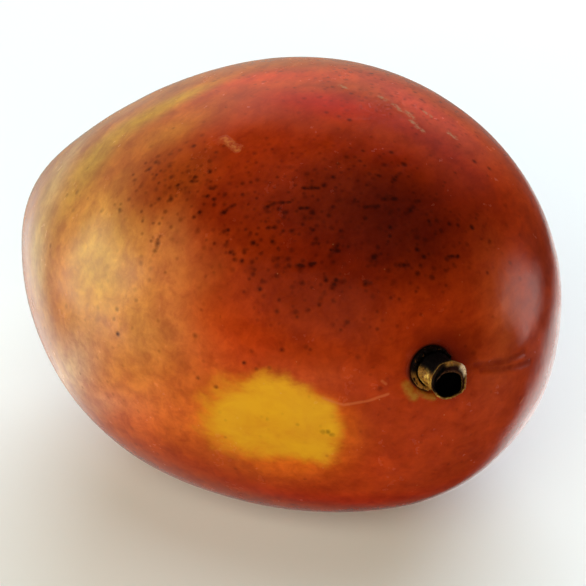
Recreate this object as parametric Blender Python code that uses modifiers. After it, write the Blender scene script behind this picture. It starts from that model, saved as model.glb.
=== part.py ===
# A ripe mango lying on its broad side, with the cut stub of its stalk.
# Metres, +Z up. The origin is under the fruit, at the middle of the small flat spot that it rests on.
# +X runs along the fruit towards the end that carries the stalk.
import math

import bmesh
import bpy
from mathutils import Matrix, Vector

# Driving dimensions of the fruit
fruit_length = 0.118
fruit_width = 0.0965
fruit_thickness = 0.0850
centre_above_table = 0.0417
centre_from_origin = (-0.0008, -0.0034)

# How the fruit departs from a plain ellipsoid, along x from -1 at the tip to +1 at the stalk end
end_profile = (0.018, -0.09, 0.16)
width_taper = -0.042
thickness_taper = 0.03
section_squareness = 2.3
sideways_bow = 0.0042
bow_skew = 0.0014
lift_skew = 0.0017

# Where the stalk grows: the angle off the +X end, and the turn from +Y towards +Z
stalk_polar = math.radians(35.7)
stalk_turn = math.radians(148.2)
stalk_lean = Vector((0.828, -0.494, 0.265)).normalized()

# The dimple round the stalk, and the pit that the stalk stands in
dimple_depth = 0.0009
dimple_reach = 0.0105
pit_depth = 0.0006
pit_floor_radius = 0.0044
pit_rim_radius = 0.0052
behind_stalk = 0.021    # the far side of the fruit, which no pit reaches

# The stalk's stub and the dried collar round its foot
gap = 0.0003
stub_above_skin = 0.0062
stub_foot_radius = 0.0030
stub_foot_height = 0.0006
stub_radius = 0.0031
stub_end_radius = 0.0036
stub_flare = 0.0026
stub_hollow_radius = 0.0026
stub_hollow_depth = 0.0018
collar_inner_radius = 0.0034
collar_outer_radius = 0.0041
collar_height = 0.0013
edge_bevel = 0.0002

# Mesh fineness
fruit_segments = 72
fruit_rings = 64
ring_crowding = 1.5
turned_steps = 32


def clear_scene():
    for scene_object in list(bpy.data.objects):
        bpy.data.objects.remove(scene_object, do_unlink=True)


def make_material(name, colour, roughness, metallic=0.0):
    material = bpy.data.materials.new(name)
    material.use_nodes = True
    shader = material.node_tree.nodes["Principled BSDF"]
    shader.inputs["Base Color"].default_value = (*colour, 1.0)
    shader.inputs["Roughness"].default_value = roughness
    shader.inputs["Metallic"].default_value = metallic
    return material


def unit_direction(polar, turn):
    radial = math.sin(polar)
    return Vector((math.cos(polar), radial * math.cos(turn), radial * math.sin(turn)))


def smooth_step(low, high, value):
    share = min(max((value - low) / (high - low), 0.0), 1.0)
    return share * share * (3 - 2 * share)


def skin_point(direction):
    """The fruit's skin in the given unit direction, before the stalk's pit and the flat spot."""
    x, y, z = direction
    radial = math.hypot(y, z)
    squared = 1.0
    if radial > 0:
        share = abs(y / radial) ** section_squareness + abs(z / radial) ** section_squareness
        squared = share ** (-1 / section_squareness)
    swell = squared * (1 + end_profile[0] * x + end_profile[1] * x ** 2 + end_profile[2] * x ** 3)
    middle = 1 - x * x
    return Vector((
        fruit_length / 2 * x + centre_from_origin[0],
        fruit_width / 2 * y * swell * (1 + width_taper * x)
        + middle * (sideways_bow + bow_skew * x) + centre_from_origin[1],
        fruit_thickness / 2 * z * swell * (1 + thickness_taper * x)
        + middle * lift_skew * x + centre_above_table,
    ))


stalk_direction = unit_direction(stalk_polar, stalk_turn)
stalk_place = skin_point(stalk_direction)


def finished_point(direction):
    """The skin with the dimple, the level-floored pit square to the stalk, and the underside flat at the table."""
    point = skin_point(direction)
    offset = point - stalk_place
    along = offset.dot(stalk_lean)
    aside = (offset - stalk_lean * along).length
    sunk = dimple_depth * math.exp(-((offset.length / dimple_reach) ** 2))
    point -= stalk_lean * sunk
    in_pit = 0.0
    if along > -behind_stalk:
        in_pit = 1 - smooth_step(pit_floor_radius, pit_rim_radius, aside)
    point -= stalk_lean * (along - sunk + dimple_depth + pit_depth) * in_pit
    point.z = max(point.z, 0.0)
    return point


def make_object(name, mesh, material, collection):
    mesh.materials.append(material)
    mesh.shade_smooth()
    new_object = bpy.data.objects.new(name, mesh)
    collection.objects.link(new_object)
    return new_object


def make_fruit(collection, material):
    # A sphere with its pole turned to the stalk, where its rings lie closest, and each vertex set on the skin.
    form = bmesh.new()
    bmesh.ops.create_uvsphere(form, u_segments=fruit_segments, v_segments=fruit_rings, radius=1.0)
    turn = Vector((0, 0, 1)).rotation_difference(stalk_direction)
    for vertex in form.verts:
        polar = math.acos(min(max(vertex.co.z, -1.0), 1.0))
        turned = math.atan2(vertex.co.y, vertex.co.x)
        polar = math.pi * (polar / math.pi) ** ring_crowding
        radial = math.sin(polar)
        upright = Vector((radial * math.cos(turned), radial * math.sin(turned), math.cos(polar)))
        vertex.co = finished_point((turn @ upright).normalized())
    bmesh.ops.triangulate(form, faces=form.faces)
    bmesh.ops.recalc_face_normals(form, faces=form.faces)
    mesh = bpy.data.meshes.new("fruit")
    form.to_mesh(mesh)
    form.free()
    return make_object("fruit", mesh, material, collection)


def make_turned(name, outline, closed, collection, material):
    """A solid turned round its own Z, from points (radius, height) that run down the outer side."""
    mesh = bpy.data.meshes.new(name)
    edges = [(index, index + 1) for index in range(len(outline) - 1)]
    if closed:
        edges.append((len(outline) - 1, 0))
    mesh.from_pydata([(radius, 0.0, height) for radius, height in outline], edges, [])
    turned = make_object(name, mesh, material, collection)
    screw = turned.modifiers.new("turn", "SCREW")
    screw.steps = turned_steps
    screw.render_steps = turned_steps
    screw.use_merge_vertices = True
    screw.merge_threshold = 0.00001
    screw.use_smooth_shade = True
    return turned


def stand_on_stalk_axis(turned, foot):
    # Sets a turned piece's Z along the stalk, with its foot the given depth under the skin.
    turn = Vector((0, 0, 1)).rotation_difference(stalk_lean)
    turned.matrix_world = Matrix.Translation(stalk_place - stalk_lean * foot) @ turn.to_matrix().to_4x4()


def make_stem(collection, material):
    foot = pit_depth + dimple_depth - gap
    end = foot + stub_above_skin
    outline = [
        (0.0, end - stub_hollow_depth),
        (stub_hollow_radius, end - stub_hollow_depth),
        (stub_hollow_radius, end - edge_bevel),
        (stub_hollow_radius + edge_bevel, end),
        (stub_end_radius - edge_bevel, end),
        (stub_end_radius, end - edge_bevel),
        (stub_radius, end - stub_flare),
        (stub_radius, foot),
        (stub_foot_radius, stub_foot_height),
        (stub_foot_radius, 0.0),
        (0.0, 0.0),
    ]
    stem = make_turned("stem", outline, False, collection, material)
    stand_on_stalk_axis(stem, foot)
    return stem


def make_collar(collection, material):
    outline = [
        (collar_inner_radius, collar_height - edge_bevel),
        (collar_inner_radius + edge_bevel, collar_height),
        (collar_outer_radius - edge_bevel, collar_height),
        (collar_outer_radius, collar_height - edge_bevel),
        (collar_outer_radius, 0.0),
        (collar_inner_radius, 0.0),
    ]
    collar = make_turned("stem_collar", outline, True, collection, material)
    stand_on_stalk_axis(collar, pit_depth + dimple_depth - gap)
    return collar


def main():
    clear_scene()
    mango = bpy.data.collections.new("mango")
    bpy.context.scene.collection.children.link(mango)
    make_fruit(mango, make_material("ripe skin", (0.42, 0.05, 0.015), 0.38))
    make_stem(mango, make_material("stalk bark", (0.34, 0.20, 0.06), 0.5))
    make_collar(mango, make_material("dried collar", (0.05, 0.03, 0.015), 0.75))
    bpy.context.view_layer.update()


main()
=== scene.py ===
import math
import random

import bmesh
import bpy
import numpy as np
from mathutils import Color, Matrix, Vector, noise
from mathutils.bvhtree import BVHTree


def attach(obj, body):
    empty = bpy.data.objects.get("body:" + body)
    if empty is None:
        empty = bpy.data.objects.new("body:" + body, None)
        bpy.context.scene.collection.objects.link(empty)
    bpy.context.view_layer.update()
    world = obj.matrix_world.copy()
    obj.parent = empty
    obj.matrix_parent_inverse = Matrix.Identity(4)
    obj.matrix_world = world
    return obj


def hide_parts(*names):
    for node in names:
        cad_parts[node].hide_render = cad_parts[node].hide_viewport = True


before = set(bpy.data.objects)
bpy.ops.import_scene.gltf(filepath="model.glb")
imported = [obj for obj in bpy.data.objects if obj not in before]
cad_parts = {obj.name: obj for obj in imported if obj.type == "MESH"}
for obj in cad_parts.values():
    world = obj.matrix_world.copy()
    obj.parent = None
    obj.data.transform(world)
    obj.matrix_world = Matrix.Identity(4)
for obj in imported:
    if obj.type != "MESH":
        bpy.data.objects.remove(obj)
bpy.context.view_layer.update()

millimetre = 0.001

# The view: angles in degrees, lengths in metres, the picture in pixels
viewSettings = {
    "azimuth": -58.97,
    "elevation": 36.0,
    "roll": 2.77,
    "distance": 0.400,
    "lookAt": (-0.0008, -0.0034, 0.0417),
    "aimRight": 0.00312,
    "aimUp": -0.00175,
    "lens": 119.6,
    "sensor": 36.0,
    "pictureSide": 586,
}


def viewAxes():
    azimuth = math.radians(viewSettings["azimuth"])
    elevation = math.radians(viewSettings["elevation"])
    roll = math.radians(viewSettings["roll"])
    back = Vector((
        math.cos(elevation) * math.cos(azimuth),
        math.cos(elevation) * math.sin(azimuth),
        math.sin(elevation),
    ))
    level = Vector((-math.sin(azimuth), math.cos(azimuth), 0))
    upright = back.cross(level)
    right = level * math.cos(roll) + upright * math.sin(roll)
    up = upright * math.cos(roll) - level * math.sin(roll)
    return right, up, back


def makeCamera():
    right, up, back = viewAxes()
    middle = Vector(viewSettings["lookAt"])
    place = middle + back * viewSettings["distance"]
    target = middle + right * viewSettings["aimRight"] + up * viewSettings["aimUp"]
    axisZ = (place - target).normalized()
    axisX = up.cross(axisZ).normalized()
    axisY = axisZ.cross(axisX)
    camera = bpy.data.objects.new("camera", bpy.data.cameras.new("camera"))
    camera.data.lens = viewSettings["lens"]
    camera.data.sensor_width = viewSettings["sensor"]
    camera.data.clip_start = 0.01
    camera.matrix_world = Matrix.Translation(place) @ Matrix((axisX, axisY, axisZ)).transposed().to_4x4()
    bpy.context.scene.collection.objects.link(camera)
    bpy.context.scene.camera = camera
    return camera


camera = makeCamera()
print("camera set")


# The fruit's form, in metres, the same values as its solid
fruitForm = {
    "length": 0.118,
    "width": 0.0965,
    "thickness": 0.0850,
    "middle": (-0.0008, -0.0034, 0.0417),
    "endProfile": (0.018, -0.09, 0.16),
    "widthTaper": -0.042,
    "thicknessTaper": 0.03,
    "squareness": 2.3,
    "bow": 0.0042,
    "bowSkew": 0.0014,
    "liftSkew": 0.0017,
    "stalkPolar": math.radians(35.7),
    "stalkTurn": math.radians(148.2),
    "stalkLean": Vector((0.828, -0.494, 0.265)).normalized(),
    "dimpleDepth": 0.0009,
    "dimpleReach": 0.0105,
    "pitDepth": 0.0006,
    "pitFloor": 0.0044,
    "pitRim": 0.0052,
    "behindStalk": 0.021,
    "segments": 224,
    "rings": 160,
    "crowding": 1.3,
    "unevenness": 0.00012,      # how far the skin wanders in and out
    "unevenScale": 55.0,
}


def smoothStep(low, high, value):
    share = min(max((value - low) / (high - low), 0.0), 1.0)
    return share * share * (3 - 2 * share)


def skinPoint(direction):
    x, y, z = direction
    radial = math.hypot(y, z)
    squared = 1.0
    if radial > 1e-9:
        power = fruitForm["squareness"]
        squared = (abs(y / radial) ** power + abs(z / radial) ** power) ** (-1 / power)
    first, second, third = fruitForm["endProfile"]
    swell = squared * (1 + first * x + second * x ** 2 + third * x ** 3)
    between = 1 - x * x
    middle = Vector(fruitForm["middle"])
    return middle + Vector((
        fruitForm["length"] / 2 * x,
        fruitForm["width"] / 2 * y * swell * (1 + fruitForm["widthTaper"] * x)
        + between * (fruitForm["bow"] + fruitForm["bowSkew"] * x),
        fruitForm["thickness"] / 2 * z * swell * (1 + fruitForm["thicknessTaper"] * x)
        + between * fruitForm["liftSkew"] * x,
    ))


stalkDirection = Vector((
    math.cos(fruitForm["stalkPolar"]),
    math.sin(fruitForm["stalkPolar"]) * math.cos(fruitForm["stalkTurn"]),
    math.sin(fruitForm["stalkPolar"]) * math.sin(fruitForm["stalkTurn"]),
))
stalkPlace = skinPoint(stalkDirection)
stalkLean = fruitForm["stalkLean"]


def finishedPoint(direction):
    point = skinPoint(direction)
    offset = point - stalkPlace
    along = offset.dot(stalkLean)
    aside = (offset - stalkLean * along).length
    sunk = fruitForm["dimpleDepth"] * math.exp(-((offset.length / fruitForm["dimpleReach"]) ** 2))
    point -= stalkLean * sunk
    inPit = 0.0
    if along > -fruitForm["behindStalk"]:
        inPit = 1 - smoothStep(fruitForm["pitFloor"], fruitForm["pitRim"], aside)
    point -= stalkLean * (along - sunk + fruitForm["dimpleDepth"] + fruitForm["pitDepth"]) * inPit
    point.z = max(point.z, 0.0)
    return point


# A sphere with its pole turned to the stalk, each vertex kept as a direction of length one
skinForm = bmesh.new()
bmesh.ops.create_uvsphere(
    skinForm, u_segments=fruitForm["segments"], v_segments=fruitForm["rings"], radius=1.0
)
poleTurn = Vector((0, 0, 1)).rotation_difference(stalkDirection)
for vertex in skinForm.verts:
    polar = math.acos(min(max(vertex.co.z, -1.0), 1.0))
    turned = math.atan2(vertex.co.y, vertex.co.x)
    polar = math.pi * (polar / math.pi) ** fruitForm["crowding"]
    radial = math.sin(polar)
    vertex.co = poleTurn @ Vector((radial * math.cos(turned), radial * math.sin(turned), math.cos(polar)))

roughPoints = [finishedPoint(vertex.co.normalized()) for vertex in skinForm.verts]
roughTree = BVHTree.FromPolygons(roughPoints, [[v.index for v in face.verts] for face in skinForm.faces])


# The point of the skin seen at a pixel of the picture, and the skin's direction there
def seenAt(pixelX, pixelY):
    half = viewSettings["pictureSide"] / 2
    focal = viewSettings["lens"] / viewSettings["sensor"] * viewSettings["pictureSide"]
    sight = Vector(((pixelX - half) / focal, (half - pixelY) / focal, -1)).normalized()
    turn = camera.matrix_world.to_3x3()
    place, normal = roughTree.ray_cast(camera.matrix_world.translation, turn @ sight)[:2]
    return place, normal


# The same for a place on the hidden side, given by its direction from the fruit's middle
def hiddenAt(direction):
    middle = Vector(fruitForm["middle"])
    outwards = Vector(direction).normalized()
    place, normal = roughTree.ray_cast(middle + outwards * 0.2, -outwards)[:2]
    return place, normal


# Marks in the skin, each a stroke through pixels of the picture: width and rise in millimetres
darkDots = {
    "width": 0.85,
    "rise": -0.03,
    "strength": (0.5, 0.9),
    "places": [
        (207, 196), (211, 188), (214, 199), (214, 205), (225, 194), (234, 205), (243, 195),
        (194, 217), (200, 212), (228, 230), (273, 242), (278, 221), (283, 231), (291, 231),
        (313, 230), (313, 244), (303, 261), (290, 266), (234, 254), (242, 261), (260, 289),
        (343, 282), (326, 280), (354, 202), (333, 207), (289, 265), (305, 197), (333, 177),
        (363, 151), (360, 161), (379, 176), (365, 218), (390, 213), (390, 227), (390, 236),
        (341, 231), (441, 230), (429, 221), (378, 247), (417, 249), (424, 257), (401, 264),
        (344, 281), (433, 278), (306, 208), (295, 185), (338, 164), (419, 201), (449, 223),
        (458, 225), (198, 378), (216, 387), (244, 363), (256, 369), (269, 368), (282, 350),
        (117, 309), (114, 319), (118, 334), (136, 300), (149, 169), (178, 185), (171, 227),
    ],
}
softDots = {
    "width": 1.05,
    "rise": -0.02,
    "strength": (0.25, 0.6),
    "places": [
        (202, 135), (170, 154), (158, 156), (174, 162), (183, 165), (150, 168), (156, 162), (165, 171),
        (188, 171), (171, 177), (135, 180), (141, 186), (156, 190), (165, 193), (177, 186), (185, 192),
        (171, 200), (210, 187), (226, 245), (238, 234), (232, 252), (244, 252), (242, 262), (67, 195),
        (77, 192), (73, 210), (155, 251), (141, 263), (150, 269), (149, 280), (135, 290), (126, 219),
        (255, 153), (290, 167), (307, 174), (327, 178), (381, 158), (384, 165), (369, 174), (294, 178),
        (270, 183), (305, 217), (310, 218), (318, 218), (279, 209), (303, 224), (332, 228), (347, 228),
        (342, 237), (274, 243), (349, 244), (292, 250), (277, 266), (274, 259), (288, 259), (368, 259),
        (391, 228), (417, 231), (430, 224), (458, 220), (419, 250), (417, 237), (425, 240), (447, 259),
        (334, 301), (321, 299), (296, 312), (307, 310), (259, 288), (264, 296), (320, 303), (333, 325),
        (347, 322), (432, 277), (421, 266), (434, 268), (358, 357), (403, 200), (379, 196), (371, 207),
        (252, 262), (252, 268), (253, 274), (323, 432), (328, 432), (332, 435),
    ],
}
bigDots = {
    "width": 1.1,
    "rise": -0.05,
    "strength": (0.8, 1.0),
    "places": [
        (404, 164.5), (253, 243), (224, 212), (375, 207), (394, 199), (472, 227), (374, 257),
        (324, 185.5), (366, 283), (285, 212), (410, 210), (312, 213),
    ],
}
darkDashes = {
    "width": (0.6, 1.05),
    "rise": -0.03,
    "step": 0.4,
    "strokes": [
        ((303, 188), (318, 188)), ((265, 208), (274, 203), (290, 202)), ((297, 266), (304, 266)),
        ((311, 265), (316, 263)), ((331, 250), (339, 251)), ((399, 174), (392, 182)),
        ((365, 207), (378, 206)), ((383, 199), (396, 199)), ((406, 213), (413, 207)),
        ((222, 213), (232, 206)), ((267, 228), (275, 227)), ((191, 181), (197, 181)),
        ((158, 239), (157, 248)), ((364, 284), (371, 283)), ((448, 257), (458, 256)),
        ((301, 208), (309, 208)), ((333, 252), (338, 244)), ((396, 265), (408, 265)),
        ((332, 289), (336, 280)),
    ],
}
corkMarks = {
    "width": 1.5,
    "rise": 0.05,
    "strokes": [((224, 138), (230, 143), (237, 149))],
}
scuffMarks = {
    "width": 1.0,
    "rise": 0.04,
    "strokes": [
        ((341, 86), (346, 88)), ((380, 97), (386, 100)), ((394, 105), (401, 111)), ((407, 112), (413, 118)),
        ((411, 121), (416, 124)), ((417, 127), (423, 131)), ((425, 112), (430, 116)), ((449, 133), (456, 138)),
    ],
}
creaseLines = {
    "width": 1.4,
    "rise": -0.11,
    "strokes": [
        ((476, 366), (492, 364), (508, 361), (524, 353)), ((482, 370), (500, 369), (516, 367), (530, 362)),
    ],
}
ridgeLines = {
    "width": 3.2,
    "rise": 0.07,
    "strokes": [((500, 356), (513, 349), (527, 339))],
}
faintLines = {
    "width": 0.5,
    "rise": 0.02,
    "strokes": [
        ((323, 398), (343, 405), (368, 401), (388, 394)), ((382, 381), (386, 384)),
        ((520, 403), (523, 398)),
    ],
}
sapCrust = {
    "width": 1.8,
    "rise": 0.14,
    "strokes": [((407, 385), (410, 391)), ((412, 394), (414, 396))],
}
resinLump = {
    "width": 1.3,
    "rise": 0.40,
    "strokes": [((418, 391), (425, 395), (433, 397))],
}
hiddenMarks = {
    "seed": 11,
    "count": 170,
    "width": (0.5, 1.2),
}


# Every stroke as a line of points on the skin, with its width, rise and strength
def gatherStrokes():
    strokes = []

    def add(kind, pixels, settings, strength=1.0):
        line = [seenAt(*pixel)[0] for pixel in pixels]
        strokes.append({
            "kind": kind,
            "line": line,
            "width": settings["width"] * millimetre,
            "rise": settings["rise"] * millimetre,
            "strength": strength,
        })

    draw = random.Random(5)
    for settings in (darkDots, softDots, bigDots):
        for pixel in settings["places"]:
            add("dark", [pixel], settings, draw.uniform(*settings["strength"]))

    # a dash is a row of dots of uneven size and darkness
    for pixels in darkDashes["strokes"]:
        line = [seenAt(*pixel)[0] for pixel in pixels]
        for start, end in zip(line[:-1], line[1:]):
            length = (end - start).length
            count = max(1, round(length / (darkDashes["step"] * millimetre)))
            for index in range(count + 1):
                place = start.lerp(end, min(1, (index + draw.uniform(-0.3, 0.3)) / count))
                strokes.append({
                    "kind": "dark",
                    "line": [place],
                    "width": draw.uniform(*darkDashes["width"]) * millimetre,
                    "rise": darkDashes["rise"] * millimetre,
                    "strength": draw.uniform(0.45, 1.0),
                })
    for kind, settings in (
        ("cork", corkMarks), ("scuff", scuffMarks), ("crease", creaseLines), ("ridge", ridgeLines),
        ("faint", faintLines), ("sap", sapCrust), ("sap", resinLump),
    ):
        for pixels in settings["strokes"]:
            add(kind, pixels, settings)

    # the side that the view doesn't reach has its own scatter of dots
    draw = random.Random(hiddenMarks["seed"])
    right, up, back = viewAxes()
    placed = 0
    while placed < hiddenMarks["count"]:
        direction = Vector((draw.gauss(0, 1), draw.gauss(0, 1), draw.gauss(0, 1))).normalized()
        width = draw.uniform(*hiddenMarks["width"])
        place, normal = hiddenAt(direction)
        if normal.dot(back) > 0.05 or place.z < 0.002:
            continue
        strokes.append({
            "kind": "dark",
            "line": [place],
            "width": width * millimetre,
            "rise": -0.03 * millimetre,
            "strength": draw.uniform(0.35, 0.9) * smoothStep(-0.5, 0.6, direction.z + 0.3 * direction.x),
        })
        placed += 1
    return strokes


def distanceToLine(points, line):
    nearest = np.full(len(points), 1e9)
    ends = [np.array(place) for place in line]
    if len(ends) == 1:
        return np.linalg.norm(points - ends[0], axis=1)
    for start, end in zip(ends[:-1], ends[1:]):
        run = end - start
        share = np.clip((points - start) @ run / (run @ run), 0, 1)
        nearest = np.minimum(nearest, np.linalg.norm(points - start - share[:, None] * run, axis=1))
    return nearest


strokes = gatherStrokes()
print("marks placed:", len(strokes))


# The mesh is made finer round each mark, so that it has a crisp edge
def refineRoundMarks(form, reach, cuts):
    form.verts.index_update()
    form.faces.ensure_lookup_table()
    points = np.array([finishedPoint(vertex.co.normalized()) for vertex in form.verts])
    centres = np.array([points[[v.index for v in face.verts]].mean(0) for face in form.faces])
    near = np.zeros(len(centres), bool)
    for stroke in strokes:
        near |= distanceToLine(centres, stroke["line"]) < stroke["width"] / 2 + reach
    edges = {edge for face, chosen in zip(form.faces, near) if chosen for edge in face.edges}
    bmesh.ops.subdivide_edges(form, edges=list(edges), cuts=cuts, use_grid_fill=True)


refineRoundMarks(skinForm, 0.0007, 3)
for vertex in skinForm.verts:
    vertex.co = finishedPoint(vertex.co.normalized())
skinForm.normal_update()
print("skin vertices:", len(skinForm.verts))


# Relief: the skin wanders a little, dots are pricked in, corky marks stand up
def carveSkin(form):
    form.verts.index_update()
    points = np.array([vertex.co for vertex in form.verts])
    normals = np.array([vertex.normal for vertex in form.verts])
    rise = np.zeros(len(points))
    for index, vertex in enumerate(form.verts):
        nearStalk = (vertex.co - stalkPlace).length
        calm = smoothStep(0.006, 0.014, nearStalk) * smoothStep(0.0005, 0.006, vertex.co.z)
        wander = noise.noise(vertex.co * fruitForm["unevenScale"])
        wander += 0.4 * noise.noise(vertex.co * fruitForm["unevenScale"] * 2.7)
        rise[index] = calm * wander * fruitForm["unevenness"]
    for stroke in strokes:
        away = distanceToLine(points, stroke["line"]) / (stroke["width"] / 2)
        rise += stroke["rise"] * stroke["strength"] * np.exp(-(away ** 2))
    moved = points + normals * rise[:, None]
    for vertex, place in zip(form.verts, moved):
        vertex.co = (place[0], place[1], max(place[2], 0.0))


carveSkin(skinForm)

# Colour of the skin, laid on in soft fields one over another.
# A field on the seen side is placed by a pixel, one on the hidden side by a direction from the middle.
# Reach is in millimetres along and across the field, turn is in degrees in the picture's plane,
# and an edge above 1 gives the field a firmer border.
skinFields = {
    "ground": "9E2604",
    "warp": 2.2,
    "warpScale": 70.0,
    "fields": [
        {"name": "gold back", "at": (-0.55, 0.75, 0.1), "reach": (46, 34), "colour": "C08A3A", "strength": 0.85},
        {"name": "pale tip", "at": (-0.9, 0.3, -0.1), "reach": (34, 30), "colour": "BCA24C", "strength": 0.75},
        {"name": "underside", "at": (0.1, 0.2, -1.0), "reach": (44, 30), "colour": "C4661E", "strength": 0.7},
        {"name": "far shoulder", "at": (0.8, 0.6, 0.2), "reach": (34, 26), "colour": "9C2A0C", "strength": 0.6},
        {"name": "orange foot", "seen": (165, 385), "reach": (22, 13), "turn": -30, "edge": 1.3, "colour": "BE5A20",
         "strength": 0.95},
        {"name": "under the patch", "seen": (278, 432), "reach": (15, 10.5), "turn": -6, "edge": 2.4,
         "colour": "DA6414", "strength": 0.95},
        {"name": "upper red", "seen": (290, 145), "reach": (30, 13), "colour": "962604", "strength": 0.9},
        {"name": "top band", "seen": (275, 78), "reach": (24, 5), "turn": 4, "colour": "C23A14", "strength": 0.9},
        {"name": "top right band", "seen": (418, 104), "reach": (14, 4.5), "turn": -35, "colour": "B83624",
         "strength": 0.8},
        {"name": "upper right red", "seen": (435, 142), "reach": (14, 5), "turn": -32, "edge": 1.3,
         "colour": "8A1C02", "strength": 0.85},
        {"name": "crimson band", "seen": (322, 103), "reach": (15, 5), "turn": -8, "colour": "B01200",
         "strength": 0.8},
        {"name": "upper dark", "seen": (388, 160), "reach": (9, 7), "colour": "7C1802", "strength": 0.8},
        {"name": "tan cheek", "seen": (110, 275), "reach": (18, 22), "turn": -14, "edge": 2.2, "colour": "C47C3C",
         "strength": 0.97},
        {"name": "cheek centre", "seen": (92, 262), "reach": (8, 14), "turn": -10, "colour": "C89C4A",
         "strength": 0.75},
        {"name": "cheek right", "seen": (178, 282), "reach": (7.6, 14), "turn": 5, "edge": 1.8,
         "colour": "BC6A36", "strength": 0.8},
        {"name": "cheek fringe", "seen": (216, 326), "reach": (5.5, 9), "turn": 6, "colour": "B44C1C",
         "strength": 0.6},
        {"name": "cheek edge", "seen": (203, 238), "reach": (3.5, 8), "turn": 4, "colour": "C44C1E", "strength": 0.55},
        {"name": "over the patch", "seen": (305, 371), "reach": (7, 2.6), "turn": -10, "colour": "C85426",
         "strength": 0.55},
        {"name": "low cheek", "seen": (105, 350), "reach": (8, 9), "turn": -40, "colour": "BA6420",
         "strength": 0.7},
        # the next two fields paint a pale reflection along the lower left rim
        {"name": "painted low rim glow", "seen": (66, 370), "reach": (6, 15), "turn": -35, "colour": "D0A88E", "strength": 0.88},
        {"name": "painted low left rim glow", "seen": (104, 408), "reach": (4, 10), "turn": -48, "colour": "D09678",
         "strength": 0.7},
        # painted light lifting the shaded skin near the floor on the lower left
        {"name": "painted low left light", "seen": (132, 426), "reach": (6, 10), "turn": -40, "colour": "D8642C",
         "strength": 0.6},
        {"name": "gold shoulder", "seen": (166, 133), "reach": (8, 5), "turn": 30, "colour": "C07A28",
         "strength": 0.6},
        {"name": "bright red", "seen": (252, 340), "reach": (9, 10), "colour": "B03408", "strength": 0.7},
        {"name": "low red rim", "seen": (345, 500), "reach": (30, 4), "colour": "A4240A", "strength": 0.75},
        {"name": "tip", "seen": (36, 245), "reach": (7, 18), "turn": -6, "colour": "C29C6A", "strength": 0.95},
        {"name": "green gold band", "seen": (95, 158), "reach": (18, 6.5), "turn": 42, "edge": 1.4,
         "colour": "B48436", "strength": 0.95},
        {"name": "pale upper rim", "seen": (62, 168), "reach": (5, 10), "turn": -30, "colour": "BE9C6C",
         "strength": 0.7},
        {"name": "gold band", "seen": (160, 108), "reach": (12, 3.5), "turn": 25, "edge": 1.3, "colour": "B4801C",
         "strength": 0.9},
        {"name": "left brown", "seen": (161, 184), "reach": (10.5, 9.5), "turn": 10, "edge": 1.5,
         "colour": "8C3206", "strength": 0.9},
        {"name": "brown right", "seen": (216, 212), "reach": (6, 8), "edge": 1.3, "colour": "802003",
         "strength": 0.85},
        {"name": "mid flush", "seen": (300, 205), "reach": (19, 15), "edge": 1.4, "colour": "701A03",
         "strength": 0.85},
        {"name": "low flush", "seen": (342, 268), "reach": (20, 12), "turn": 8, "edge": 1.4, "colour": "641301",
         "strength": 0.9},
        {"name": "right dusk", "seen": (475, 212), "reach": (14, 13), "edge": 1.3, "colour": "6E1201",
         "strength": 0.8},
        {"name": "right edge", "seen": (540, 255), "reach": (5, 8), "colour": "761E04", "strength": 0.8},
        {"name": "dark flush", "seen": (402, 216), "reach": (16, 12), "turn": -8, "edge": 1.3, "colour": "440901",
         "strength": 0.9},
        {"name": "right cheek", "seen": (505, 318), "reach": (6, 13), "colour": "A4441C", "strength": 0.85},
        {"name": "stalk surround", "seen": (405, 328), "reach": (15, 8), "colour": "862608", "strength": 0.7},
        {"name": "stalk shade", "seen": (462, 354), "reach": (5, 4.5), "colour": "641803", "strength": 0.85},
    ],
}
# The golden patch: its outline in the picture, and how softly it ends at its left and right, in millimetres
yellowPatch = {
    "outline": [
        (196, 414), (205, 397), (228, 382), (262, 375), (288, 376), (304, 386), (320, 397), (336, 403), (341, 414),
        (340, 436), (337, 456), (327, 464), (298, 461), (258, 456), (226, 449), (205, 435),
    ],
    "fade": (5.6, 2.4),
    "threshold": 0.2,
    "softness": 0.7,
}
# Where small dark dots crowd the skin, from 0 to 1
dotCrowd = {
    "everywhere": 0.12,
    "ovals": [
        {"seen": (330, 218), "reach": (31, 18), "turn": -3, "edge": 1.8},
        {"seen": (182, 182), "reach": (15, 9.5), "edge": 1.5},
        {"at": (0.2, 0.5, 0.8), "reach": (30, 20)},
    ],
}


def fromHex(code):
    parts = [int(code[start:start + 2], 16) / 255 for start in (0, 2, 4)]
    return np.array(Color(parts).from_srgb_to_scene_linear())


# How strongly a soft oval on the skin covers each point, from 1 at its middle to 0
def ovalCover(points, oval, edge=1.0):
    place, normal = seenAt(*oval["seen"]) if "seen" in oval else hiddenAt(oval["at"])
    along = viewAxes()[0]
    along = (along - normal * along.dot(normal)).normalized()
    turn = Matrix.Rotation(math.radians(oval.get("turn", 0)), 3, normal)
    along = turn @ along
    across = normal.cross(along)
    length, width = (value * millimetre for value in oval["reach"])
    offset = points - np.array(place)
    share = (offset @ np.array(along) / length) ** 2 + (offset @ np.array(across) / width) ** 2
    share += (offset @ np.array(normal) / (1.3 * max(length, width))) ** 2
    return np.exp(-(share ** edge))


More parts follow.
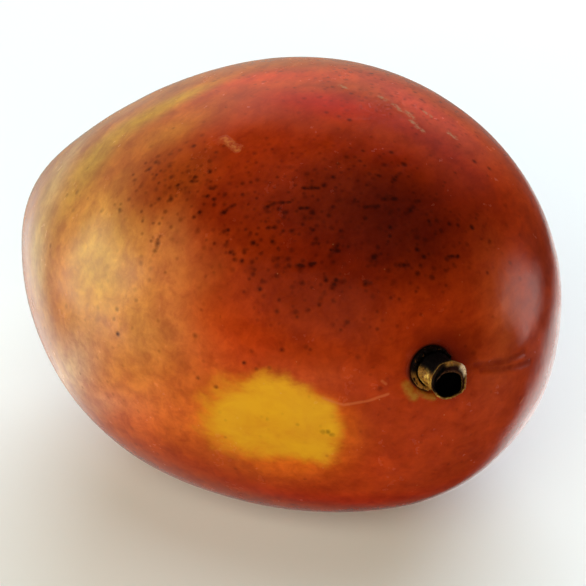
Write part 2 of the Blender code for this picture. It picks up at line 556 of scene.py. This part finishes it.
# The golden patch, from 0 outside to 1 well inside its outline
def patchCover(points):
    corners = [seenAt(*pixel) for pixel in yellowPatch["outline"]]
    normal = sum((corner[1] for corner in corners), Vector()).normalized()
    corners = [corner[0] for corner in corners]
    middle = np.array(sum(corners, Vector()) / len(corners))
    along = viewAxes()[0]
    along = (along - normal * along.dot(normal)).normalized()
    across = np.array(normal.cross(along))
    along = np.array(along)
    right, up = (points - middle) @ along, (points - middle) @ across
    cornerRight, cornerUp = (np.array(corners) - middle) @ along, (np.array(corners) - middle) @ across
    inside = np.zeros(len(points), bool)
    for index in range(len(corners)):
        startUp, endUp = cornerUp[index - 1], cornerUp[index]
        startRight, endRight = cornerRight[index - 1], cornerRight[index]
        crossed = (startUp > up) != (endUp > up)
        meets = startRight + (up - startUp) * (endRight - startRight) / (endUp - startUp + 1e-12)
        inside ^= crossed & (right < meets)
    away = distanceToLine(points, corners + corners[:1])
    away = np.where(inside & ((points - middle) @ np.array(normal) > -0.01), away, -away)
    share = np.clip((right - cornerRight.min()) / (cornerRight.max() - cornerRight.min()), 0, 1)
    fade = np.interp(share, (0, 0.8), yellowPatch["fade"]) * millimetre
    return np.clip(0.5 + away / (2 * fade), 0, 1)


def paintSkin(mesh):
    count = len(mesh.vertices)
    points = np.empty(count * 3)
    mesh.vertices.foreach_get("co", points)
    points = points.reshape(count, 3)
    wander = np.array([
        noise.noise_vector(Vector(point) * skinFields["warpScale"]) for point in points
    ])
    warped = points + wander * skinFields["warp"] * millimetre

    colour = np.tile(fromHex(skinFields["ground"]), (count, 1))
    for field in skinFields["fields"]:
        cover = (field["strength"] * ovalCover(warped, field, field.get("edge", 1)))[:, None]
        colour = colour * (1 - cover) + fromHex(field["colour"]) * cover

    patch = patchCover(points)
    crowd = np.full(count, dotCrowd["everywhere"])
    for oval in dotCrowd["ovals"]:
        crowd = np.maximum(crowd, ovalCover(warped, oval, oval.get("edge", 1)))

    amounts = {kind: np.zeros(count) for kind in ("dark", "cork", "scuff", "crease", "ridge", "faint", "sap")}
    for stroke in strokes:
        away = distanceToLine(points, stroke["line"]) / (stroke["width"] / 2)
        cover = stroke["strength"] * np.exp(-(away ** 2.4) / 1.3)
        amounts[stroke["kind"]] = np.maximum(amounts[stroke["kind"]], cover)

    offset = points - np.array(stalkPlace)
    along = offset @ np.array(stalkLean)
    aside = np.linalg.norm(offset - along[:, None] * np.array(stalkLean), axis=1)
    near = np.linalg.norm(offset, axis=1) < 0.012
    # the pit is painted near black as shade
    pit = np.where(near, np.clip((0.0047 - aside) / 0.0005, 0, 1), 0)
    right, up = viewAxes()[:2]
    shaded = np.clip(offset @ np.array((right * 0.6 + up).normalized()) / np.maximum(aside, 1e-6), 0, 1)
    # painted shade round the stalk's mouth, reaching further towards the picture's upper right
    paintedStalkShade = np.where(near, np.exp(-((aside / (0.0052 + 0.0024 * shaded)) ** 6)), 0)

    layers = {
        "skinColour": colour,
        "skinFields": np.stack([patch, pit, paintedStalkShade], axis=1),
        "skinMarks": np.stack([amounts["dark"], amounts["cork"], amounts["sap"]], axis=1),
        "skinLines": np.stack([amounts["crease"], amounts["faint"], amounts["scuff"]], axis=1),
        "dotCrowd": np.stack([crowd, crowd, crowd], axis=1),
    }
    for name, values in layers.items():
        layer = mesh.color_attributes.new(name, "FLOAT_COLOR", "POINT")
        values = np.concatenate([values, np.ones((count, 1))], axis=1)
        layer.data.foreach_set("color", values.astype(np.float32).ravel())


# Small helpers for building node trees
def addNode(tree, kind, **settings):
    node = tree.nodes.new(kind)
    for name, value in settings.items():
        setattr(node, name, value)
    return node


def setSocket(tree, socket, value):
    if isinstance(value, bpy.types.NodeSocket):
        tree.links.new(value, socket)
    elif value is not None:
        socket.default_value = value


def objectCoordinates(tree, scale=(1, 1, 1), turn=(0, 0, 0), place=(0, 0, 0)):
    coordinates = addNode(tree, "ShaderNodeTexCoord")
    mapping = addNode(tree, "ShaderNodeMapping")
    mapping.inputs["Location"].default_value = place
    mapping.inputs["Rotation"].default_value = turn
    mapping.inputs["Scale"].default_value = scale
    tree.links.new(coordinates.outputs["Object"], mapping.inputs["Vector"])
    return mapping.outputs["Vector"]


def noiseValue(tree, vector, scale, detail=3.0, roughness=0.5, distortion=0.0):
    node = addNode(tree, "ShaderNodeTexNoise")
    tree.links.new(vector, node.inputs["Vector"])
    node.inputs["Scale"].default_value = scale
    node.inputs["Detail"].default_value = detail
    node.inputs["Roughness"].default_value = roughness
    node.inputs["Distortion"].default_value = distortion
    return node.outputs["Fac"]


def calculate(tree, operation, first, second=None, clamp=False):
    node = addNode(tree, "ShaderNodeMath", operation=operation, use_clamp=clamp)
    setSocket(tree, node.inputs[0], first)
    setSocket(tree, node.inputs[1], second)
    return node.outputs[0]


def remap(tree, value, low, high, newLow=0.0, newHigh=1.0, smooth=False):
    node = addNode(tree, "ShaderNodeMapRange")
    node.interpolation_type = "SMOOTHSTEP" if smooth else "LINEAR"
    setSocket(tree, node.inputs["Value"], value)
    node.inputs["From Min"].default_value = low
    node.inputs["From Max"].default_value = high
    node.inputs["To Min"].default_value = newLow
    node.inputs["To Max"].default_value = newHigh
    return node.outputs["Result"]


def mixColours(tree, share, first, second, blend="MIX"):
    node = addNode(tree, "ShaderNodeMix", data_type="RGBA", blend_type=blend)
    setSocket(tree, node.inputs[0], share)
    setSocket(tree, node.inputs[6], first)
    setSocket(tree, node.inputs[7], second)
    return node.outputs[2]


def paintedLayer(tree, name):
    attribute = addNode(tree, "ShaderNodeAttribute", attribute_name=name)
    return attribute.outputs["Color"]


def splitLayer(tree, name):
    split = addNode(tree, "ShaderNodeSeparateColor")
    tree.links.new(paintedLayer(tree, name), split.inputs["Color"])
    return split.outputs["Red"], split.outputs["Green"], split.outputs["Blue"]


def bump(tree, height, strength, distance, normal=None):
    node = addNode(tree, "ShaderNodeBump")
    node.inputs["Strength"].default_value = strength
    node.inputs["Distance"].default_value = distance
    tree.links.new(height, node.inputs["Height"])
    if normal is not None:
        tree.links.new(normal, node.inputs["Normal"])
    return node.outputs["Normal"]


def rgba(code):
    return (*fromHex(code), 1.0)


def newMaterial(name):
    material = bpy.data.materials.new(name)
    material.use_nodes = True
    return material, material.node_tree, material.node_tree.nodes["Principled BSDF"]


skinFinish = {
    "yellow": "D89A1A",
    "deepYellow": "C87A16",
    "darkDot": "240502",
    "smallDot": "2A0601",
    "cork": "BC6A34",
    "scuff": "9C8058",
    # dark red of the painted shade in the creases and round the stalk
    "creaseRed": "5E1004",
    "faint": "C86A3A",
    "sap": "9A621E",
    # near-black painted shade in the stalk's pit
    "pit": "080503",
    "paleSpeck": "D09A68",
    "lightTint": (1.17, 1.24, 1.15),
    "darkTint": (0.86, 0.78, 0.85),
    "roughness": (0.17, 0.27),
}


def makeSkinMaterial():
    material, tree, shader = newMaterial("waxy ripe skin")
    place = objectCoordinates(tree)
    colour = paintedLayer(tree, "skinColour")
    patch, pit, paintedStalkShade = splitLayer(tree, "skinFields")
    dark, cork, sap = splitLayer(tree, "skinMarks")
    crease, faint, scuff = splitLayer(tree, "skinLines")
    crowd = splitLayer(tree, "dotCrowd")[0]

    # broad, streaky and fine mottling
    broad = noiseValue(tree, place, 85, 4, 0.55, 0.4)
    streaky = noiseValue(tree, objectCoordinates(tree, (1.0, 0.5, 0.7), (0.3, 0.5, 0.2)), 190, 3, 0.55, 0.7)
    fine = noiseValue(tree, place, 900, 2, 0.5)
    shade = remap(tree, broad, 0.3, 0.7, 0.87, 1.13)
    shade = calculate(tree, "MULTIPLY", shade, remap(tree, streaky, 0.3, 0.7, 0.92, 1.08))
    shade = calculate(tree, "MULTIPLY", shade, remap(tree, fine, 0.3, 0.7, 0.96, 1.04))
    shading = addNode(tree, "ShaderNodeCombineColor")
    for socket in ("Red", "Green", "Blue"):
        tree.links.new(shade, shading.inputs[socket])
    colour = mixColours(tree, 1.0, colour, shading.outputs["Color"], "MULTIPLY")
    streaks = noiseValue(tree, objectCoordinates(tree, (1.0, 0.6, 1.0), (0.2, 0.1, 0.5)), 330, 5, 0.68, 0.3)
    tint = mixColours(
        tree, remap(tree, streaks, 0.36, 0.64), (*skinFinish["lightTint"], 1), (*skinFinish["darkTint"], 1)
    )
    colour = mixColours(tree, 1.0, colour, tint, "MULTIPLY")

    # golden patch with a ragged edge
    ragged = noiseValue(tree, objectCoordinates(tree, (0.6, 1.0, 1.0)), 220, 6, 0.62, 0.4)
    edge = calculate(tree, "ADD", patch, remap(tree, ragged, 0.25, 0.75, -0.26, 0.26))
    low = yellowPatch["threshold"]
    cover = remap(tree, edge, low, low + yellowPatch["softness"], smooth=True)
    gold = mixColours(
        tree, remap(tree, ragged, 0.2, 0.6, 0.3, 1.0), rgba(skinFinish["deepYellow"]), rgba(skinFinish["yellow"])
    )
    gold = mixColours(tree, remap(tree, edge, low, 0.95), rgba(skinFinish["deepYellow"]), gold)
    colour = mixColours(tree, cover, colour, gold)

    # small dark dots, crowded where the layer says so, and sparse pale specks
    for scale, inner, outer, crowding, share, name in (
        (450, 0.02, 0.38, crowd, 0.78, "smallDot"), (760, 0.02, 0.46, crowd, 0.6, "smallDot"),
        (620, 0.04, 0.12, 0.14, 0.4, "paleSpeck"),
    ):
        cells = addNode(tree, "ShaderNodeTexVoronoi")
        tree.links.new(place, cells.inputs["Vector"])
        cells.inputs["Scale"].default_value = scale
        pick = addNode(tree, "ShaderNodeSeparateColor")
        tree.links.new(cells.outputs["Color"], pick.inputs["Color"])
        dot = remap(tree, cells.outputs["Distance"], inner, outer, 1.0, 0.0, smooth=True)
        kept = remap(tree, calculate(tree, "SUBTRACT", crowding, pick.outputs["Red"]), 0.0, 0.15)
        strength = remap(tree, pick.outputs["Green"], 0.0, 1.0, 0.3 * share, share)
        dot = calculate(tree, "MULTIPLY", calculate(tree, "MULTIPLY", dot, kept), strength)
        colour = mixColours(tree, dot, colour, rgba(skinFinish[name]))

    # drawn marks, the corky ones well broken up; the crease lines are darkened with painted shade
    broken = noiseValue(tree, place, 1500, 3, 0.6)
    for amount, name, share, wear in (
        (crease, "creaseRed", 0.5, fine), (faint, "faint", 0.45, fine), (scuff, "scuff", 0.55, broken),
        (cork, "cork", 0.75, broken), (dark, "darkDot", 0.85, fine), (sap, "sap", 1.0, broken),
    ):
        least = {"scuff": 0.0, "cork": 0.1, "sap": 0.6}.get(name, 0.75)
        worn = calculate(tree, "MULTIPLY", amount, remap(tree, wear, 0.35, 0.65, least, 1.25))
        worn = remap(tree, worn, 0.08, 0.9, 0.0, share)
        colour = mixColours(tree, worn, colour, rgba(skinFinish[name]))
    # painted shade round the stalk
    colour = mixColours(tree, remap(tree, paintedStalkShade, 0.0, 1.0, 0.0, 0.75), colour, rgba(skinFinish["creaseRed"]))
    # painted shade fills the stalk's pit
    colour = mixColours(tree, pit, colour, rgba(skinFinish["pit"]))
    tree.links.new(colour, shader.inputs["Base Color"])

    # satin wax, duller on marks and in the pit
    rough = remap(tree, streaky, 0.3, 0.7, *skinFinish["roughness"])
    rough = calculate(tree, "ADD", rough, remap(tree, fine, 0.3, 0.7, -0.03, 0.03))
    rough = calculate(tree, "ADD", rough, calculate(tree, "MULTIPLY", cork, 0.25))
    rough = calculate(tree, "ADD", rough, calculate(tree, "MULTIPLY", pit, 0.4), clamp=True)
    tree.links.new(rough, shader.inputs["Roughness"])

    relief = calculate(tree, "ADD", calculate(tree, "MULTIPLY", fine, 0.12), broad)
    relief = calculate(tree, "ADD", relief, calculate(tree, "MULTIPLY", streaky, 0.3))
    tree.links.new(bump(tree, relief, 0.3, 0.0004), shader.inputs["Normal"])
    shader.inputs["Specular IOR Level"].default_value = 0.2
    shader.inputs["Coat Weight"].default_value = 0.03
    shader.inputs["Coat Roughness"].default_value = 0.2
    shader.inputs["Subsurface Weight"].default_value = 0.08
    shader.inputs["Subsurface Radius"].default_value = (1.0, 0.35, 0.12)
    shader.inputs["Subsurface Scale"].default_value = 0.002
    return material


def finishPiece(form, name, material, node):
    mesh = bpy.data.meshes.new(name)
    form.to_mesh(mesh)
    form.free()
    mesh.materials.append(material)
    mesh.shade_smooth()
    piece = bpy.data.objects.new(name, mesh)
    bpy.context.scene.collection.objects.link(piece)
    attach(piece, "root")
    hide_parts(node)
    return piece


fruitSkin = finishPiece(skinForm, "mango_skin", makeSkinMaterial(), "fruit")
paintSkin(fruitSkin.data)
print("skin painted")


# The stalk's stub and its collar, turned round the stalk's own line
stubForm = {
    "aboveSkin": 0.0062,
    "radius": 0.0031,
    "endRadius": 0.0036,
    "spread": 0.0033,           # just above the foot, where it meets the collar
    "footRadius": 0.0030,
    "footHeight": 0.0006,
    "flare": 0.0030,
    "hollowRadius": 0.0026,
    "hollowDepth": 0.0030,
    "lip": 0.0003,              # how far the hollow's lip lies under the rim
    "hollowOffset": 0.00092,    # the hole sits low in the cut face
    "hollowStretch": (1.08, 0.92),
    "steps": 112,
    "rough": 0.00022,
    "fibre": 0.00007,
    "ragged": 0.00035,
    "gap": 0.0003,
}
collarForm = {
    "innerRadius": 0.0034,
    "outerRadius": 0.0042,
    "height": 0.0013,
    "steps": 140,
    "scallop": 0.0006,
}
stalkFoot = fruitForm["pitDepth"] + fruitForm["dimpleDepth"] - stubForm["gap"]


def stalkMatrix():
    turn = Vector((0, 0, 1)).rotation_difference(stalkLean)
    return Matrix.Translation(stalkPlace - stalkLean * stalkFoot) @ turn.to_matrix().to_4x4()


def turnOutline(outline, steps, closed=False):
    form = bmesh.new()
    verts = [form.verts.new((radius, 0, height)) for radius, height in outline]
    pairs = list(zip(verts[:-1], verts[1:]))
    if closed:
        pairs.append((verts[-1], verts[0]))
    edges = [form.edges.new(pair) for pair in pairs]
    bmesh.ops.spin(
        form, geom=verts + edges, cent=(0, 0, 0), axis=(0, 0, 1),
        angle=2 * math.pi, steps=steps, use_merge=True, use_duplicate=False,
    )
    bmesh.ops.remove_doubles(form, verts=form.verts, dist=0.00001)
    bmesh.ops.recalc_face_normals(form, faces=form.faces)
    return form


def evenOutline(outline, step):
    points = [outline[0]]
    for start, end in zip(outline[:-1], outline[1:]):
        count = max(1, round(math.dist(start, end) / step))
        for index in range(1, count + 1):
            share = index / count
            points.append(tuple(a + (b - a) * share for a, b in zip(start, end)))
    return points


# The picture's right and down, seen along the stalk's own line
def stalkSides():
    turn = stalkMatrix().to_3x3().inverted()
    right, up = viewAxes()[:2]
    right, down = turn @ right, turn @ -up
    down = Vector((down.x, down.y, 0)).normalized()
    right = Vector((right.x, right.y, 0))
    right = (right - down * right.dot(down)).normalized()
    return right, down


def makeStub():
    end = stalkFoot + stubForm["aboveSkin"]
    outer, inner = stubForm["endRadius"], stubForm["hollowRadius"]
    floor = end - stubForm["hollowDepth"]
    outline = [
        (0.0, floor),
        (inner - 0.0003, floor),
        (inner, floor + 0.0004),
        (inner, end - stubForm["lip"] - 0.0001),
        (inner + 0.0001, end - stubForm["lip"]),
        (outer - 0.00032, end - 0.00015),
        (outer - 0.00018, end),
        (outer - 0.00004, end - 0.0001),
        (outer, end - 0.0004),
        (stubForm["radius"], end - stubForm["flare"]),
        (stubForm["spread"], stalkFoot + 0.0004),
        (stubForm["footRadius"], stubForm["footHeight"]),
        (stubForm["footRadius"], 0.0),
        (0.0, 0.0),
    ]
    form = turnOutline(evenOutline(outline, 0.00022), stubForm["steps"])
    plain = [vertex.co.copy() for vertex in form.verts]
    right, down = stalkSides()
    wide, high = stubForm["hollowStretch"]
    for vertex in form.verts:
        radius = math.hypot(vertex.co.x, vertex.co.y)
        turn = math.atan2(vertex.co.y, vertex.co.x)
        height = vertex.co.z
        ring = Vector((math.cos(turn), math.sin(turn), 0))
        away = min(radius / 0.002, 1)
        inHollow = smoothStep(floor - 0.0002, floor + 0.0008, height)
        inHollow *= 1 - smoothStep(inner, outer - 0.0002, radius)
        wander = noise.noise(ring * 1.4 + Vector((0, 0, height * 330)))
        wander += 0.5 * noise.noise(ring * 3.5 + Vector((3, 0, height * 800)))
        fibre = noise.noise(Vector((ring.x * 9, ring.y * 9, height * 140)))
        ragged = noise.noise(ring * 2.0 + Vector((5, 0, 0))) + 0.6 * noise.noise(ring * 6 + Vector((0, 4, 0)))
        nearEnd = smoothStep(end - 0.0018, end, height)
        if radius > 1e-6:
            rough = stubForm["rough"] * (1 - 0.6 * inHollow)
            grown = radius + (wander * rough + fibre * stubForm["fibre"]) * away
            vertex.co.x *= grown / radius
            vertex.co.y *= grown / radius
        vertex.co.z += nearEnd * ragged * stubForm["ragged"] * away
        flat = Vector((vertex.co.x, vertex.co.y, 0))
        # the hole leaves the middle towards its lip only, so its wall stays inside the bark
        shift = inHollow * (0.3 + 0.7 * (height - floor) / (end - floor))
        vertex.co += right * flat.dot(right) * (wide - 1) * shift
        vertex.co += down * (flat.dot(down) * (high - 1) + stubForm["hollowOffset"]) * shift
    form.transform(stalkMatrix())
    return form, plain, end


def stubTones(mesh, plain, end):
    # red is the hollow, green the cut face, blue the foot and upper side, all painted dark as shade; then rim, lip and
    # a painted highlight fleck
    tones, edges = [], []
    outer, inner = stubForm["endRadius"], stubForm["hollowRadius"]
    right, down = stalkSides()
    for local in plain:
        radius = math.hypot(local.x, local.y)
        side = Vector((local.x, local.y, 0)).normalized()
        sideRight, sideUp = side.dot(right), -side.dot(down)
        # the hollow is painted near black as shade
        inside = 1 - smoothStep(inner + 0.00004, inner + 0.00010, radius)
        hollow = inside * smoothStep(end - stubForm["hollowDepth"] - 0.0003, end - stubForm["hollowDepth"], local.z)
        # the cut face is painted dark brown as shade
        inFace = smoothStep(end - 0.0006, end - 0.0003, local.z)
        cut = inFace * (1 - smoothStep(outer - 0.00040, outer - 0.00028, radius)) * (1 - hollow)
        # painted shade: dark at the foot by the collar, on the side towards the picture's top, and on the left near
        # the end
        paintedShade = 1 - smoothStep(stalkFoot, stalkFoot + 0.0008, local.z)
        upwards = smoothStep(-0.15, 0.45, sideUp)
        paintedShade = max(paintedShade, upwards * (1 - 0.6 * smoothStep(end - 0.0014, end - 0.0006, local.z)))
        leftwards = smoothStep(0.15, 0.6, -sideRight) * smoothStep(-0.85, -0.5, sideUp)
        paintedShade = max(paintedShade, leftwards * smoothStep(end - 0.0012, end - 0.0005, local.z))
        shown = 1 - smoothStep(0.0, 0.5, -sideRight) * smoothStep(-0.95, -0.5, sideUp)
        rim = inFace * smoothStep(outer - 0.00034, outer - 0.00022, radius) * (0.08 + 0.92 * shown)
        lip = (1 - hollow) * inFace * (1 - smoothStep(inner + 0.00012, inner + 0.00022, radius))
        lip *= smoothStep(0.1, 0.6, sideUp)
        # painted highlight on the rim towards the picture's upper right
        bright = smoothStep(0.88, 0.99, sideRight * 0.74 + sideUp * 0.67)
        bright *= inFace * smoothStep(outer - 0.0007, outer - 0.0004, radius)
        tones.extend((hollow, cut, paintedShade, 1.0))
        edges.extend((rim, lip, bright, 1.0))
    for name, values in (("stubTones", tones), ("stubEdges", edges)):
        layer = mesh.color_attributes.new(name, "FLOAT_COLOR", "POINT")
        layer.data.foreach_set("color", values)


def makeCollar():
    inner = collarForm["innerRadius"]
    outer = collarForm["outerRadius"]
    height = collarForm["height"]
    outline = [
        (inner, height * 0.75),
        (inner + 0.00025, height),
        (outer - 0.0003, height * 0.95),
        (outer, height * 0.7),
        (outer - 0.0001, 0.0),
        (inner, 0.0),
        (inner, height * 0.75),
    ]
    form = turnOutline(evenOutline(outline, 0.00025)[:-1], collarForm["steps"], closed=True)
    for vertex in form.verts:
        radius = math.hypot(vertex.co.x, vertex.co.y)
        turn = math.atan2(vertex.co.y, vertex.co.x)
        ring = Vector((math.cos(turn), math.sin(turn), 0))
        scallop = noise.noise(ring * 4.5) + 0.6 * noise.noise(ring * 12 + Vector((0, 0, vertex.co.z * 900)))
        outwards = smoothStep(inner, outer, radius)
        share = smoothStep(0, height, vertex.co.z)
        grown = radius + scallop * collarForm["scallop"] * 0.3 * outwards * share
        vertex.co.x *= grown / radius
        vertex.co.y *= grown / radius
        vertex.co.z += scallop * collarForm["scallop"] * share
    form.transform(stalkMatrix())
    return form


def collarTones(mesh):
    # red is how far a place of the collar lies to the resinous side
    right, up = viewAxes()[:2]
    resinSide = (-right * 0.55 - up).normalized()
    values = []
    for vertex in mesh.vertices:
        offset = vertex.co - stalkPlace
        offset -= stalkLean * offset.dot(stalkLean)
        side = smoothStep(0.45, 0.9, offset.normalized().dot(resinSide))
        values.extend((side, side, side, 1.0))
    layer = mesh.color_attributes.new("collarTones", "FLOAT_COLOR", "POINT")
    layer.data.foreach_set("color", values)


stubFinish = {
    "bark": "78501C",
    "gold": "AC782C",
    "glint": "DEB858",
    "hollow": "020101",
    "cut": "220A05",
    "rim": "6E4022",
    "rimHighlight": "E8C8A8",
    # near black, for the dark fibres and for the painted shade
    "foot": "040202",
}
collarFinish = {
    "darkTissueAndShade": "050201",
    "fleck": "7A4A22",
    "resin": "8C5A1E",
}


def makeStubMaterial():
    material, tree, shader = newMaterial("cut stalk")
    place = objectCoordinates(tree)
    hollow, cut, paintedShade = splitLayer(tree, "stubTones")
    rim, lip, bright = splitLayer(tree, "stubEdges")
    blotch = noiseValue(tree, place, 620, 4, 0.6, 0.5)
    fibre = noiseValue(tree, place, 2600, 3, 0.6)
    uneven = remap(tree, blotch, 0.35, 0.65, -0.3, 0.3)
    colour = mixColours(
        tree, remap(tree, blotch, 0.40, 0.58), rgba(stubFinish["bark"]), rgba(stubFinish["gold"])
    )
    colour = mixColours(tree, remap(tree, blotch, 0.54, 0.64, 0.0, 0.9), colour, rgba(stubFinish["glint"]))
    colour = mixColours(tree, remap(tree, fibre, 0.48, 0.66, 0.0, 0.65), colour, rgba(stubFinish["foot"]))
    # the cut face is painted dark brown as shade
    colour = mixColours(tree, cut, colour, rgba(stubFinish["cut"]))
    # painted shade darkens the stub's foot and upper side
    dark = remap(tree, calculate(tree, "ADD", paintedShade, uneven), 0.3, 0.7, smooth=True)
    colour = mixColours(tree, calculate(tree, "MULTIPLY", dark, paintedShade), colour, rgba(stubFinish["foot"]))
    # the rim, its lip and a painted highlight on the rim
    for amount, name, share in ((rim, "rim", 0.9), (lip, "rim", 0.6), (bright, "rimHighlight", 0.9)):
        worn = calculate(tree, "MULTIPLY", amount, remap(tree, fibre, 0.36, 0.56, 0.25 * share, share))
        colour = mixColours(tree, worn, colour, rgba(stubFinish[name]))
    # the hollow is painted near black as shade
    colour = mixColours(tree, hollow, colour, rgba(stubFinish["hollow"]))
    tree.links.new(colour, shader.inputs["Base Color"])
    rough = remap(tree, blotch, 0.3, 0.7, 0.45, 0.2)
    rough = calculate(tree, "ADD", rough, calculate(tree, "MULTIPLY", paintedShade, 0.6), clamp=True)
    tree.links.new(rough, shader.inputs["Roughness"])
    relief = calculate(tree, "ADD", blotch, calculate(tree, "MULTIPLY", fibre, 0.5))
    tree.links.new(bump(tree, relief, 0.6, 0.0004), shader.inputs["Normal"])
    shader.inputs["Specular IOR Level"].default_value = 0.18
    return material


def makeCollarMaterial():
    material, tree, shader = newMaterial("dried dark collar")
    place = objectCoordinates(tree)
    resin = splitLayer(tree, "collarTones")[0]
    flecks = noiseValue(tree, place, 1500, 4, 0.7)
    lumps = noiseValue(tree, place, 800, 3, 0.6)
    # near black, partly the collar's own dried tissue and partly painted shade of the pit
    colour = mixColours(
        tree, remap(tree, flecks, 0.60, 0.70), rgba(collarFinish["darkTissueAndShade"]), rgba(collarFinish["fleck"])
    )
    share = calculate(tree, "MULTIPLY", resin, remap(tree, lumps, 0.38, 0.5))
    colour = mixColours(tree, share, colour, rgba(collarFinish["resin"]))
    tree.links.new(colour, shader.inputs["Base Color"])
    tree.links.new(remap(tree, flecks, 0.3, 0.7, 0.5, 0.8), shader.inputs["Roughness"])
    tree.links.new(bump(tree, calculate(tree, "ADD", flecks, lumps), 0.9, 0.0006), shader.inputs["Normal"])
    shader.inputs["Specular IOR Level"].default_value = 0.15
    return material


stubShape, stubPlain, stubEnd = makeStub()
stub = finishPiece(stubShape, "stalk_stub", makeStubMaterial(), "stem")
stubTones(stub.data, stubPlain, stubEnd)
collar = finishPiece(makeCollar(), "dried_collar", makeCollarMaterial(), "stem_collar")
collarTones(collar.data)
print("stalk made")


# Floor and light. Lights stand round the fruit: turn and height in degrees, distance and size in metres
floorSettings = {"radius": 1.0, "colour": "F2F4F6", "drop": 0.00005}
lights = [
    {"name": "highKey", "turn": 108, "height": 27, "distance": 1.2, "size": (1.3, 0.35),
     "power": 17, "colour": (0.72, 0.87, 1.0)},
    {"name": "frontFill", "turn": -70, "height": 35, "distance": 1.3, "size": (1.2, 0.9),
     "power": 13, "colour": (0.96, 0.95, 0.72)},
    {"name": "topFill", "turn": 90, "height": 80, "distance": 1.3, "size": (1.2, 1.2),
     "power": 6, "colour": (1.0, 0.97, 0.94)},
]
# What the skin mirrors: a pale side of the room, dark overhead, and two soft windows
roomSettings = {
    "seen": (0.90, 0.92, 0.94),
    "dark": 0.012,
    "pale": 0.5,
    "paleColour": (1.0, 0.94, 0.84, 1.0),
    "paleTurn": 165,
    "paleHeight": -8,
    "paleRange": (0.1, 0.9),
    "overhead": (0.45, 0.75),
    "windows": [
        {"turn": -147, "height": -2, "half": (19, 21), "soft": 0.10, "strength": 3.6, "colour": (1.0, 0.96, 0.88)},
        {"turn": 48, "height": 0, "half": (9, 13), "tilt": 22, "soft": 0.06, "strength": 2.7, "colour": (1.0, 0.92, 0.88)},
        {"turn": 115, "height": 20, "half": (24, 14), "soft": 0.15, "strength": 0.38, "colour": (1.0, 0.78, 0.64)},
        {"turn": 84, "height": -38, "half": (18, 12), "soft": 0.10, "strength": 1.7, "colour": (1.0, 0.95, 0.92)},
        {"turn": 162, "height": -34, "half": (13, 14), "soft": 0.12, "strength": 1.2, "colour": (1.0, 0.95, 0.88)},
    ],
}


def aim(turn, height):
    turn, height = math.radians(turn), math.radians(height)
    return Vector((
        math.cos(height) * math.cos(turn), math.cos(height) * math.sin(turn), math.sin(height),
    ))


def makeFloor():
    form = bmesh.new()
    bmesh.ops.create_circle(form, cap_ends=True, segments=96, radius=floorSettings["radius"])
    mesh = bpy.data.meshes.new("floor")
    form.to_mesh(mesh)
    form.free()
    floor = bpy.data.objects.new("floor", mesh)
    floor.location.z = -floorSettings["drop"]
    floor.visible_glossy = False      # the skin mirrors the room instead
    bpy.context.scene.collection.objects.link(floor)
    material, tree, shader = newMaterial("pale floor")
    shader.inputs["Base Color"].default_value = rgba(floorSettings["colour"])
    shader.inputs["Roughness"].default_value = 0.9
    shader.inputs["Specular IOR Level"].default_value = 0.1
    mesh.materials.append(material)


def makeLight(settings):
    outwards = aim(settings["turn"], settings["height"])
    data = bpy.data.lights.new(settings["name"], "AREA")
    data.shape = "RECTANGLE"
    data.size, data.size_y = settings["size"]
    data.energy = settings["power"]
    data.color = settings["colour"]
    light = bpy.data.objects.new(settings["name"], data)
    light.location = Vector(fruitForm["middle"]) + outwards * settings["distance"]
    light.rotation_euler = outwards.to_track_quat("Z", "Y").to_euler()
    light.visible_glossy = False
    light.visible_camera = False
    bpy.context.scene.collection.objects.link(light)


def makeWorld():
    world = bpy.data.worlds.new("pale room")
    world.use_nodes = True
    tree = world.node_tree
    sight = addNode(tree, "ShaderNodeTexCoord").outputs["Generated"]

    def towards(axis):
        node = addNode(tree, "ShaderNodeVectorMath", operation="DOT_PRODUCT")
        tree.links.new(sight, node.inputs[0])
        node.inputs[1].default_value = axis
        return node.outputs["Value"]

    paleAxis = aim(roomSettings["paleTurn"], roomSettings["paleHeight"])
    pale = remap(tree, towards(paleAxis), *roomSettings["paleRange"], smooth=True)
    below = remap(tree, towards((0, 0, 1)), *roomSettings["overhead"], 1.0, 0.0, smooth=True)
    glow = calculate(tree, "MULTIPLY", calculate(tree, "MULTIPLY", pale, below), roomSettings["pale"])
    glow = calculate(tree, "ADD", glow, roomSettings["dark"])
    colour = mixColours(tree, 1.0, roomSettings["paleColour"], glow, "MULTIPLY")
    for window in roomSettings["windows"]:
        centre = aim(window["turn"], window["height"])
        sideways = Vector((0, 0, 1)).cross(centre).normalized()
        sideways = Matrix.Rotation(math.radians(window.get("tilt", 0)), 3, centre) @ sideways
        upwards = centre.cross(sideways)
        cover = calculate(tree, "GREATER_THAN", towards(centre), 0.0)
        for axis, half in zip((sideways, upwards), window["half"]):
            away = calculate(tree, "ABSOLUTE", towards(axis))
            reach = math.sin(math.radians(half))
            within = remap(tree, away, reach - window["soft"], reach + window["soft"], 1.0, 0.0, smooth=True)
            cover = calculate(tree, "MULTIPLY", cover, within)
        light = tuple(channel * window["strength"] for channel in window["colour"])
        colour = mixColours(tree, cover, colour, (*light, 1.0), "ADD")
    eye = addNode(tree, "ShaderNodeLightPath").outputs["Is Camera Ray"]
    colour = mixColours(tree, eye, colour, (*roomSettings["seen"], 1.0))
    tree.links.new(colour, tree.nodes["Background"].inputs["Color"])
    bpy.context.scene.world = world


makeFloor()
for settings in lights:
    makeLight(settings)
makeWorld()
bpy.context.scene.view_settings.view_transform = "Standard"
bpy.context.scene.view_settings.look = "None"
print("floor and lights set")

bpy.context.view_layer.update()
